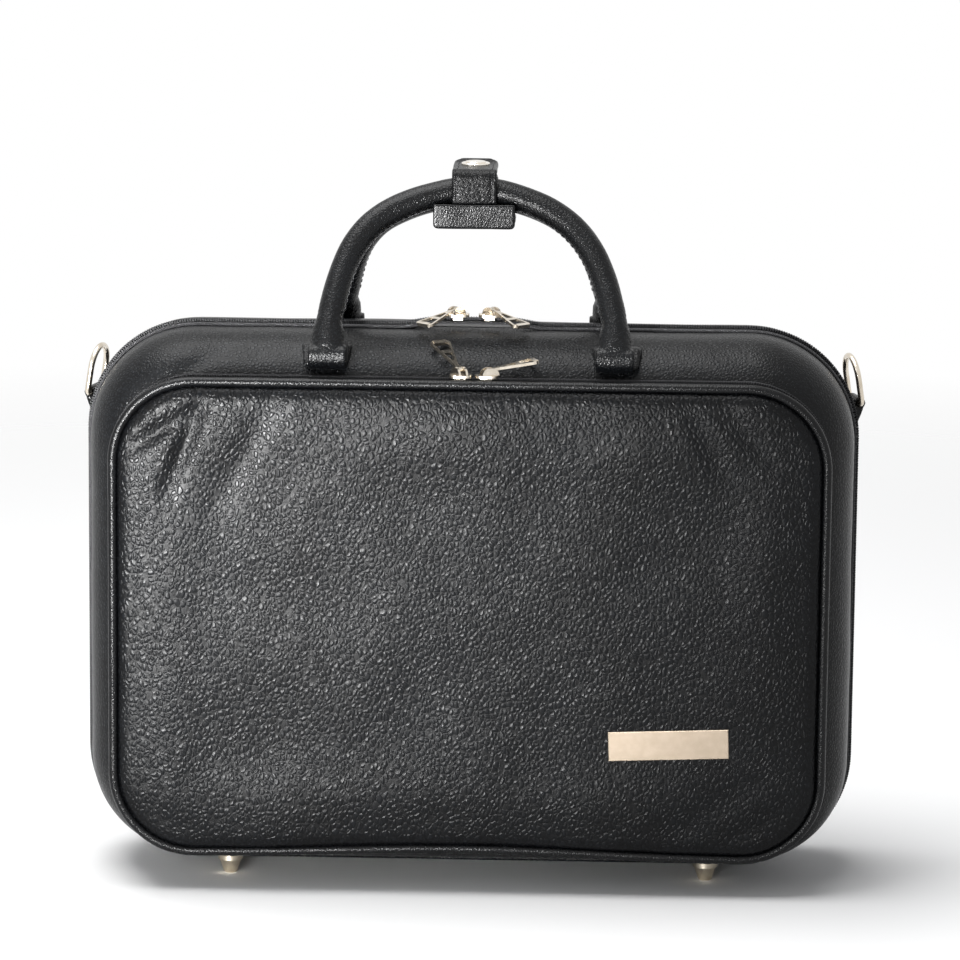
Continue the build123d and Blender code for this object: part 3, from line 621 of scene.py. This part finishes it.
def shell(name, side, inset, wall, voxel, shape):
    """One bowl-shaped layer of a half: a block, remeshed, dressed, cut open and given its wall."""
    depth = front_depth if side < 0 else rear_depth
    block = rounded_block(
        name, body_width - 2 * inset, body_height - 2 * inset, body_corner - inset, body_mid,
        zip_y - side * 6 * MM, zip_y + side * (depth - inset), body_edge - inset,
    )
    even_out(block, voxel, 6)
    press(block, shape)
    trim(block, (0, zip_y + side * half_gap, 0), (0, -side, 0))
    with_modifier(block, "SOLIDIFY", thickness=wall, offset=-1.0, use_quality_normals=True)
    round_off(block, 60)
    return block


# Each valley: start and end as (x, z), half width and depth, all in mm.
front_dents = (
    ((-158, 247), (-120, 266), 4.0, 1.1),
    ((-176, 222), (-160, 243), 4.5, 0.9),
    ((-118, 262), (-84, 267), 3.5, 0.5),
    ((120, 266), (160, 246), 5.0, 0.5),
    ((171, 60), (168, 120), 6.0, 0.4),
)
rear_dents = (
    ((-150, 60), (-60, 38), 16, 0.8),
    ((60, 210), (150, 180), 18, 0.8),
    ((-20, 120), (90, 128), 22, 0.7),
)


def front_cover_shape(co, normal):
    """Unevenness of the front cover, with dents at its upper corners and right side."""
    move = unrest(co, 0.055, 0.5 * MM, 3) + unrest(co, 0.018, 0.14 * MM, 5)
    if co.z > body_mid or abs(co.x) > 150 * MM:
        move += sum(groove(co, *dent) for dent in front_dents)
    return normal * move


def rear_cover_shape(co, normal):
    """Unevenness of the rear cover, with wide shallow dents on its back."""
    move = unrest(co, 0.06, 0.6 * MM, 8) + unrest(co, 0.02, 0.15 * MM, 2)
    move += sum(groove(co, *dent) for dent in rear_dents) if normal.y > 0.8 else 0.0
    return normal * move


def lining_shape(co, normal):
    """Slight unevenness of the stretched lining."""
    return normal * unrest(co, 0.03, 0.12 * MM, 4)


cover_voxel = 2.6 * MM
front_shell = shell("cover_front", -1, 0, cover_wall, cover_voxel, front_cover_shape)
give(front_shell, cover_leather_painted_paler, "lid", "front_cover")
rear_shell = shell("cover_rear", 1, 0, cover_wall, cover_voxel, rear_cover_shape)
give(rear_shell, cover_leather_painted_paler, "root", "rear_cover")
lining_inset = 6.7 * MM
lining_wall = 1.4 * MM
lining_voxel = 4 * MM
for side, name, body in ((-1, "front", "lid"), (1, "rear", "root")):
    lining = shell(f"lining_{name}", side, lining_inset, lining_wall, lining_voxel, lining_shape)
    give(lining, lining_plush, body, f"{name}_lining")

tray = softened("fitted_insert", "insert_tray", 2.4 * MM, 5)
press(tray, lambda co, normal: normal * unrest(co, 0.02, 0.25 * MM, 6))
round_off(tray, 80)
give(tray, insert_plush, "root", "fitted_insert")
cushion = softened("lid_pad", "lid_cushion", 3 * MM, 8)
quilt_rows = [70 * MM, 117 * MM, 163 * MM, 210 * MM]
quilt_dip = 1.6 * MM


def quilted(co, normal):
    """Sewn channels across the lid's cushion."""
    if normal.y < 0.5:
        return normal * 0.0
    dip = sum(exp(-((co.z - row) / (3.2 * MM)) ** 2) for row in quilt_rows)
    return normal * (-quilt_dip * dip + unrest(co, 0.03, 0.3 * MM, 9))


press(cushion, quilted)
round_off(cushion, 80)
give(cushion, insert_plush, "lid", "lid_pad")

# ------------------------------------------------------------------ main zip and the hinge strip
hinge_half = 135 * MM
tape_out = 0.5 * MM
teeth_out = 1.0 * MM
tape_reach = 7.1 * MM
tape_wall = 0.9 * MM
tape_seam = 5.6 * MM
tooth_pitch = 1.25 * MM
tooth_size = (0.56 * MM, 2.1 * MM, 1.35 * MM)
stitch_pitch = 3 * MM


def body_line(out):
    """Outline of the body, moved outwards."""
    return rim(body_width + 2 * out, body_height + 2 * out, body_corner + out, body_mid)


for side, name, body in ((-1, "front", "lid"), (1, "rear", "root")):
    near, far = zip_y + side * 0.15 * MM, zip_y + side * tape_reach
    tape_steps = walk(body_line(tape_out), 3 * MM, hinge_half)
    tape = ribbon(f"tape_{name}", tape_steps, near, far, zip_rise, tape_wall)
    give(tape, tape_cloth, body, f"{name}_zip_tape")
    shift = 0.0 if side < 0 else 0.5
    teeth_steps = walk(body_line(teeth_out), tooth_pitch, hinge_half + MM, shift)
    places = seam_places(teeth_steps, zip_y + side * 0.8 * MM, zip_rise)
    teeth = copies(f"teeth_{name}", tooth_model(*tooth_size), places)
    round_off(teeth)
    give(teeth, coil_nylon, body, f"{name}_zip_teeth")
    seam_steps = walk(body_line(tape_out), 2.6 * MM, hinge_half + 2 * MM)
    places = seam_places(seam_steps, zip_y + side * tape_seam, zip_rise)
    lifted = [place @ Matrix.Translation((0, 0, 0.55 * MM)) for place in places]
    seam = copies(f"tape_stitches_{name}", stitch_model(), lifted)
    round_off(seam)
    give(seam, thread, body)

hinge = softened("hinge_strip", "hinge_leather", 1.0 * MM, 3)
press(hinge, lambda co, normal: normal * unrest(co, 0.02, 0.12 * MM, 7))
give(hinge, strip_leather, None, "hinge_strip")
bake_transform(hinge)
hinge_seam = 11.5 * MM
hinge_face = 5.25 * MM
for side, name, body in ((-1, "front", "lid"), (1, "rear", "root")):
    y = zip_y + side * hinge_seam
    run = [(-133 * MM, y, hinge_face), (133 * MM, y, hinge_face)]
    sewn(f"hinge_stitches_{name}", [(run, (0, 0, -1))], stitch_pitch, body)

# ------------------------------------------------------------------ front pocket
gusset_front = zip_y - 56.1 * MM
into_cover = zip_y - 38 * MM
side_wall = 1.5 * MM
side_inset = 1.95 * MM
coil_inset = 1.2 * MM
welt_inset = 2.4 * MM
panel_inset = 4.2 * MM
coil_pitch = 1.2 * MM
coil_size = (0.54 * MM, 1.9 * MM, 1.1 * MM)


def pocket_line(inset):
    """Outline of the pocket, moved inwards."""
    return rim(pocket_width - 2 * inset, pocket_height - 2 * inset, pocket_corner - inset, pocket_mid)


def above_zip_end(steps):
    """Steps of a walk above the lower ends of the pocket's zip."""
    return [(p, d) for p, d in steps if p.y > pocket_zip_low]


side_steps = walk(pocket_line(side_inset), 3 * MM)
lower = [(p, d) for p, d in side_steps if p.y < pocket_zip_low + 2 * MM]
right_part = [step for step in lower if step[0].x > 1e-6]
left_part = [step for step in lower if step[0].x <= 1e-6]
gusset = ribbon("pocket_side", right_part + left_part, gusset_front, into_cover, pocket_sag, side_wall)
give(gusset, cover_leather_painted_paler, None, "pocket_gusset")
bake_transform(gusset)

for name, side, far, body in (("front", -1, gusset_front, "pocket_front"), ("back", 1, into_cover, "lid")):
    near = pocket_seam + side * 0.15 * MM
    tape = ribbon(f"pocket_tape_{name}", above_zip_end(side_steps), near, far, level, side_wall)
    give(tape, tape_cloth, body, f"pocket_zip_{name}")
    steps = above_zip_end(walk(pocket_line(coil_inset), coil_pitch, 0.0, 0.0 if side < 0 else 0.5))
    places = seam_places(steps, pocket_seam + side * 0.7 * MM, level)
    coil = copies(f"pocket_coil_{name}", tooth_model(*coil_size), places)
    round_off(coil)
    give(coil, coil_nylon, body, f"pocket_zip_{name}")

welt_steps = walk(pocket_line(welt_inset), 2.4 * MM)
welt_line = bpy.data.curves.new("pocket_welt", "CURVE")
welt_line.dimensions = "3D"
welt_run = welt_line.splines.new("POLY")
welt_run.points.add(len(welt_steps) - 1)
for point, (place, direction) in zip(welt_run.points, welt_steps):
    wander = unrest(Vector((place.x, 0, place.y)), 0.03, 0.25 * MM, 12)
    point.co = (place.x, welt_y + wander, place.y + pocket_sag(place.x, place.y), 1)
    point.radius = 1 + unrest(Vector((place.x, 0, place.y)), 0.012, 0.06, 15)
welt_run.use_cyclic_u = True
welt_line.bevel_depth = welt_inset
welt_line.bevel_resolution = 5
welt = bpy.data.objects.new("pocket_welt", welt_line)
bpy.context.scene.collection.objects.link(welt)
hold(welt)
bpy.ops.object.convert(target="MESH")
welt = bpy.context.object
round_off(welt, 80)
give(welt, welt_leather, "pocket_front", "pocket_piping")

panel_width = pocket_width - 2 * panel_inset
panel_height = pocket_height - 2 * panel_inset
panel_corner = pocket_corner - panel_inset
panel_wall = 2.2 * MM
plate_x, plate_z = 98 * MM, 78.5 * MM
panel_creases = (
    ((-146, 200), (-128, 247), 4.5, 2.0),
    ((-166, 220), (-134, 240), 4.0, 1.7),
    ((-122, 192), (-96, 244), 7.0, 1.0),
    ((105, 243), (123, 213), 5.0, 0.9),
    ((121, 246), (146, 218), 5.0, 0.8),
    ((90, 28), (146, 62), 8.0, 0.7),
    ((120, 24), (158, 50), 6.0, 0.6),
    ((-158, 40), (-120, 24), 7.0, 0.5),
    ((-60, 246), (40, 244), 4.0, 0.4),
)


def rim_distance(x, z):
    """How far a point of the panel lies inside the panel's outline."""
    over_x = abs(x) - (panel_width / 2 - panel_corner)
    over_z = abs(z - pocket_mid) - (panel_height / 2 - panel_corner)
    if over_x > 0 and over_z > 0:
        return panel_corner - sqrt(over_x * over_x + over_z * over_z)
    return panel_corner - max(over_x, over_z)


def panel_shape(co, normal):
    """The panel rolls back at its rim, puffs inside it, is creased, and lies flat under the plate."""
    inside = rim_distance(co.x, co.z)
    move = Vector((0, 0, pocket_sag(co.x, co.z)))
    if normal.y < -0.2:
        roll = 1.1 * MM * exp(-max(0.0, inside) / (9 * MM))
        puff = 0.9 * MM * exp(-((inside - 26 * MM) / (17 * MM)) ** 2)
        plate_rest = exp(-(((co.x - plate_x) / (34 * MM)) ** 2 + ((co.z - plate_z) / (13 * MM)) ** 2))
        wander = unrest(co, 0.05, 0.8 * MM, 1) + unrest(co, 0.022, 0.25 * MM, 11)
        dents = sum(groove(co, *crease) for crease in panel_creases)
        rise = (puff + wander) * (1 - plate_rest) + dents - roll
        move += Vector((0, -rise, 0))
    return move


panel = rounded_block(
    "pocket_leather", panel_width, panel_height, panel_corner, pocket_mid,
    panel_back + 6 * MM, panel_front, 5.2 * MM,
)
even_out(panel, 1.9 * MM, 4)
press(panel, panel_shape)
trim(panel, (0, panel_back, 0), (0, 1, 0))
with_modifier(panel, "SOLIDIFY", thickness=panel_wall, offset=-1.0, use_quality_normals=True)
round_off(panel, 80)
give(panel, panel_leather, "pocket_front", "pocket_panel")


# ------------------------------------------------------------------ handles
def handle_frame(name):
    """Foot point, unit up-vector and length of a handle's leaning plane."""
    side = handle_side[name]
    foot = Vector((0, handle_foot_y[name], handle_foot_z))
    top = Vector((0, zip_y + side * tube_setback, handle_top[name]))
    return foot, (top - foot).normalized(), (top - foot).length


def shoulder(name, co):
    """The arch is a little squarer than an ellipse, more so on its left."""
    foot, up, length = handle_frame(name)
    across, high = co.x / handle_span[name], (co - foot).dot(up) / length
    reach = max(0.2, sqrt(across * across + high * high))
    bulge = 4 * (across / reach) ** 2 * (max(0.0, high) / reach) ** 2
    push = (4.4 if co.x < 0 else 3.0) * MM * bulge * bulge
    return (Vector((1, 0, 0)) * across + up * high) * (push / reach)


foot_draw_in = 0.26
seam_reach = -6.6 * MM


def waist(name, co):
    """The flare at a foot drawn in towards the leg's middle line."""
    foot, up, _ = handle_frame(name)
    low = max(0.0, min(1.0, (17 * MM - (co - foot).dot(up)) / (14 * MM)))
    middle = handle_span[name] if co.x > 0 else -handle_span[name]
    return Vector(((middle - co.x) * foot_draw_in * low * low * (3 - 2 * low), 0, 0))


def handle_shape(name):
    """Creases at the flared feet, and a slight unevenness along the tube."""
    foot, up, length = handle_frame(name)
    side = handle_side[name]

    def shape(co, normal):
        high = (co - foot).dot(up) / length
        fade = exp(-((high - 0.17) / 0.15) ** 2)
        slant = abs(co.x) / MM * 0.75
        tall = (co - foot).dot(up) / MM
        cross = sin(1.25 * (tall + slant)) ** 2 + 0.8 * sin(1.4 * (tall - slant)) ** 2
        rings = sin(0.55 * tall + 1.3 * sin(0.21 * slant))
        move = -0.34 * MM * fade * (1 - cross / 1.8) + 0.1 * MM * fade * rings
        move += unrest(co, 0.014, 0.22 * MM, 21)
        low = max(0.0, min(1.0, (6 * MM - (co - foot).dot(up)) / (8 * MM)))
        tuck = Vector((0, -side * 1.6 * MM * low, 0)) if normal.y * side > 0 else Vector()
        return normal * move + tuck + shoulder(name, co) + waist(name, co)

    return shape


def arch_point(name, angle, reach):
    """Point on the arch at an angle from the right foot, reach out from its centre line."""
    foot, up, length = handle_frame(name)
    across = Vector((1, 0, 0)) * (handle_span[name] + reach) * cos(angle)
    point = foot + across + up * (length + reach) * sin(angle)
    return point + shoulder(name, point)


for name in ("front", "rear"):
    body = f"{name}_handle_body"
    handle = softened(f"{name}_handle", f"handle_{name}", 1.0 * MM, 4)
    press(handle, handle_shape(name))
    give(handle, handle_leather, body, f"{name}_handle")
    rope_piece = softened(f"{name}_handle_core", f"rope_{name}", 1.0 * MM, 2)
    press(rope_piece, lambda co, normal: normal * unrest(co, 0.004, 0.15 * MM, 24) + shoulder(name, co))
    give(rope_piece, rope, body, f"{name}_handle_core")
    foot, up, length = handle_frame(name)
    runs = []
    for first, last in ((17, 80), (100, 163)):
        angles = [radians(first + (last - first) * n / 24) for n in range(25)]
        for one, two in zip(angles, angles[1:]):
            inward = (foot + up * 0.3 * length - arch_point(name, (one + two) / 2, 0)).normalized()
            runs.append(([arch_point(name, one, seam_reach), arch_point(name, two, seam_reach)], inward))
    sewn(f"handle_stitches_{name}", runs, stitch_pitch, body)
    tabs = softened(f"{name}_handle_tabs", f"handle_tabs_{name}", 1.0 * MM, 3)
    press(tabs, lambda co, normal: normal * unrest(co, 0.01, 0.2 * MM, 31) + waist(name, co))
    give(tabs, strip_leather, "lid" if name == "front" else "root", f"{name}_handle_tabs")

# ------------------------------------------------------------------ wrap round the handles
fold_radius = 3.2 * MM
strap_seam = 8.5 * MM
strap_pitch = 2.6 * MM
strap_face = wrap_front - strap_wall / 2
fresh()
bpy.ops.mesh.primitive_plane_add(size=1, location=(0, strap_face, wrap_low), rotation=(pi / 2, 0, 0))
bpy.context.object.scale = (strap_width, 0.5 * MM, 1)
strap = started("wrap_strap")
bpy.ops.object.mode_set(mode="EDIT")
top_edge = wrap_low + 0.25 * MM
straight = flap_mid - fold_radius - top_edge
for step in range(4):
    bar = top_edge + straight * step / 4
    pick(strap, "EDGE", lambda each: all(v.co.z > bar - 1e-6 for v in each.verts))
    bpy.ops.mesh.extrude_region_move(TRANSFORM_OT_translate={"value": (0, 0, straight / 4)})
fold = (0, strap_face + fold_radius, flap_mid - fold_radius)
pick(strap, "EDGE", lambda each: all(v.co.z > flap_mid - fold_radius - 1e-6 for v in each.verts))
bpy.ops.mesh.spin(steps=7, angle=pi / 2, center=fold, axis=(1, 0, 0))
flat_run = flap_back - strap_face - fold_radius
for step in range(6):
    reach = strap_face + fold_radius + flat_run * step / 6
    pick(strap, "EDGE", lambda each: all(v.co.y > reach - 1e-6 for v in each.verts))
    bpy.ops.mesh.extrude_region_move(TRANSFORM_OT_translate={"value": (0, flat_run / 6, 0)})
pick(strap, "VERT", lambda vertex: vertex.co.y > flap_back - 1e-6)
bpy.ops.mesh.bevel(offset=4.4 * MM, segments=4, affect="VERTICES")
bpy.ops.mesh.select_all(action="SELECT")
bpy.ops.mesh.remove_doubles(threshold=1e-5)
bpy.ops.mesh.normals_make_consistent(inside=False)
fresh()
with_modifier(strap, "SOLIDIFY", thickness=strap_wall, offset=0.0)
even_out(strap, 0.8 * MM, 4)


def strap_shape(co, normal):
    """Edges pinched by their stitching, and the free end lifted a little."""
    pinch = exp(-((abs(co.x) - strap_seam) / (0.7 * MM)) ** 2) * abs(max(normal.z, -normal.y))
    lift = max(0.0, co.y - (zip_y + 11 * MM)) ** 2 * 55
    return normal * (-0.3 * MM * pinch + unrest(co, 0.012, 0.2 * MM, 41)) + Vector((0, 0, lift))


press(strap, strap_shape)
give(strap, strip_leather, None, "wrap_front_strap", "wrap_flap")
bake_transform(strap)
thread_y = strap_face - 1.3 * MM
for x, name in ((-strap_seam, "left"), (strap_seam, "right")):
    front_line = [(x, thread_y, wrap_low + 2 * MM), (x, thread_y, flap_mid - 3.4 * MM)]
    sewn(f"wrap_stitches_{name}", [(front_line, (0, -1, 0))], strap_pitch, "front_handle_body")
    top_start = (x, strap_face + 3.6 * MM, flap_mid + 1.3 * MM)
    top_end = (x, zip_y + 12 * MM, flap_mid + 1.35 * MM)
    sewn(f"flap_stitches_{name}", [([top_start, top_end], (0, 0, 1))], strap_pitch, "snap_flap")

fresh()
band_radius = 7.15 * MM
bpy.ops.mesh.primitive_cylinder_add(
    vertices=48, radius=band_radius, depth=strap_width, end_fill_type="NOTHING",
    location=(0, zip_y - tube_setback, handle_top["front"]), rotation=(0, pi / 2, 0),
)
band = started("handle_band")
bpy.ops.object.mode_set(mode="EDIT")
bpy.ops.mesh.select_all(action="SELECT")
bpy.ops.mesh.subdivide(number_cuts=1)
fresh()
with_modifier(band, "SOLIDIFY", thickness=1.1 * MM, offset=0.0)
with_modifier(band, "BEVEL", width=0.4 * MM, segments=2, limit_method="ANGLE")
round_off(band)
give(band, strip_leather, "front_handle_body", "wrap_front_strap")

for node_name, name, body in (
    ("wrap_pad", "wrap_pad_front", "front_handle_body"),
    ("wrap_rear_pad", "wrap_pad_rear", "rear_handle_body"),
    ("rear_wrap_band", "rear_band", "rear_handle_body"),
):
    pad = softened(node_name, name, 0.7 * MM, 3)
    press(pad, lambda co, normal: normal * unrest(co, 0.01, 0.18 * MM, 51))
    finish = strip_leather if name == "rear_band" else smooth_leather
    give(pad, finish, body, node_name)

# ------------------------------------------------------------------ strap ring tabs
for side in ("left", "right"):
    tab = softened(f"ring_tab_{side}", f"ring_leather_{side}", 0.7 * MM, 3)
    give(tab, strip_leather, "root", f"ring_tab_{side}")

# ------------------------------------------------------------------ floor, light and camera
fresh()
bpy.ops.mesh.primitive_plane_add(size=6, location=(0, 0, 0))
floor = started("floor")
floor_paint, tree, shader = painted("pale_floor")
shader.inputs["Base Color"].default_value = (0.95, 0.95, 0.95, 1)
shader.inputs["Roughness"].default_value = 0.9
shader.inputs["Specular IOR Level"].default_value = 0.1
coords = node(tree, "TexCoord").outputs["Object"]
reach = node(tree, "VectorMath", [(0, coords)], operation="LENGTH")
fade = spread(tree, reach.outputs["Value"], 0.5, 1.5, 0.0, 1.0)
clear = node(tree, "BsdfTransparent")
mixer = node(tree, "MixShader", [(0, fade), (1, shader.outputs[0]), (2, clear.outputs[0])])
tree.links.new(mixer.outputs[0], tree.nodes["Material Output"].inputs[0])
floor.data.materials.append(floor_paint)

world = bpy.data.worlds.new("studio")
bpy.context.scene.world = world
world.use_nodes = True
tree = world.node_tree
room = tree.nodes["Background"]
room.inputs[0].default_value = (0.97, 0.98, 1.0, 1)
room.inputs[1].default_value = 0.3
seen = tree.nodes.new("ShaderNodeBackground")
seen.inputs[0].default_value = (1, 1, 1, 1)
seen.inputs[1].default_value = 1.0
path = tree.nodes.new("ShaderNodeLightPath")
direct = join(tree, path.outputs["Is Camera Ray"], path.outputs["Is Glossy Ray"], 1.0)
direct = join(tree, direct, path.outputs["Is Transmission Ray"], 1.0)
switch = tree.nodes.new("ShaderNodeMixShader")
tree.links.new(direct, switch.inputs[0])
tree.links.new(room.outputs[0], switch.inputs[1])
tree.links.new(seen.outputs[0], switch.inputs[2])
tree.links.new(switch.outputs[0], tree.nodes["World Output"].inputs[0])


def softbox(name, place, target, width, height, power, beam=pi):
    """Rectangular soft light aimed at a point, with its beam narrowed by a grid if given."""
    lamp = bpy.data.lights.new(name, "AREA")
    lamp.shape = "RECTANGLE"
    lamp.size = width
    lamp.size_y = height
    lamp.energy = power
    lamp.spread = beam
    light = bpy.data.objects.new(name, lamp)
    bpy.context.scene.collection.objects.link(light)
    light.location = place
    aim = Vector(target) - Vector(place)
    light.rotation_euler = aim.to_track_quat("-Z", "Y").to_euler()


softbox("overhead", (-0.4, -0.1, 1.9), (0, 0, 0.15), 1.6, 1.2, 42)
softbox("front_left", (-1.3, -1.3, 0.9), (-0.05, 0, 0.17), 0.7, 0.7, 4)
softbox("low_front", (-0.42, -1.2, 0.16), (-0.12, 0, 0.2), 0.36, 0.3, 1.7, radians(24))

# The camera's distance is in metres; its focal length and the picture's side are in pixels.
turn, tilt, roll = radians(1.49), radians(11.04), radians(0.57)
distance, focal, picture_side, sensor = 2.488, 5039, 960, 36
aim = Vector((3.8 * MM, 0, 196.6 * MM))
look = Vector((sin(turn) * cos(tilt), -cos(turn) * cos(tilt), sin(tilt)))
camera_data = bpy.data.cameras.new("camera")
camera = bpy.data.objects.new("camera", camera_data)
bpy.context.scene.collection.objects.link(camera)
camera.location = aim + look * distance
right = (-look).cross(Vector((0, 0, 1))).normalized()
up = right.cross(-look)
rolled_right = right * cos(roll) + up * sin(roll)
rolled_up = up * cos(roll) - right * sin(roll)
camera.rotation_euler = Matrix((rolled_right, rolled_up, look)).transposed().to_euler()
camera_data.sensor_width = sensor
camera_data.lens = focal / picture_side * sensor
camera_data.clip_end = 50
bpy.context.scene.camera = camera
bpy.context.scene.view_settings.view_transform = "Standard"

fresh()
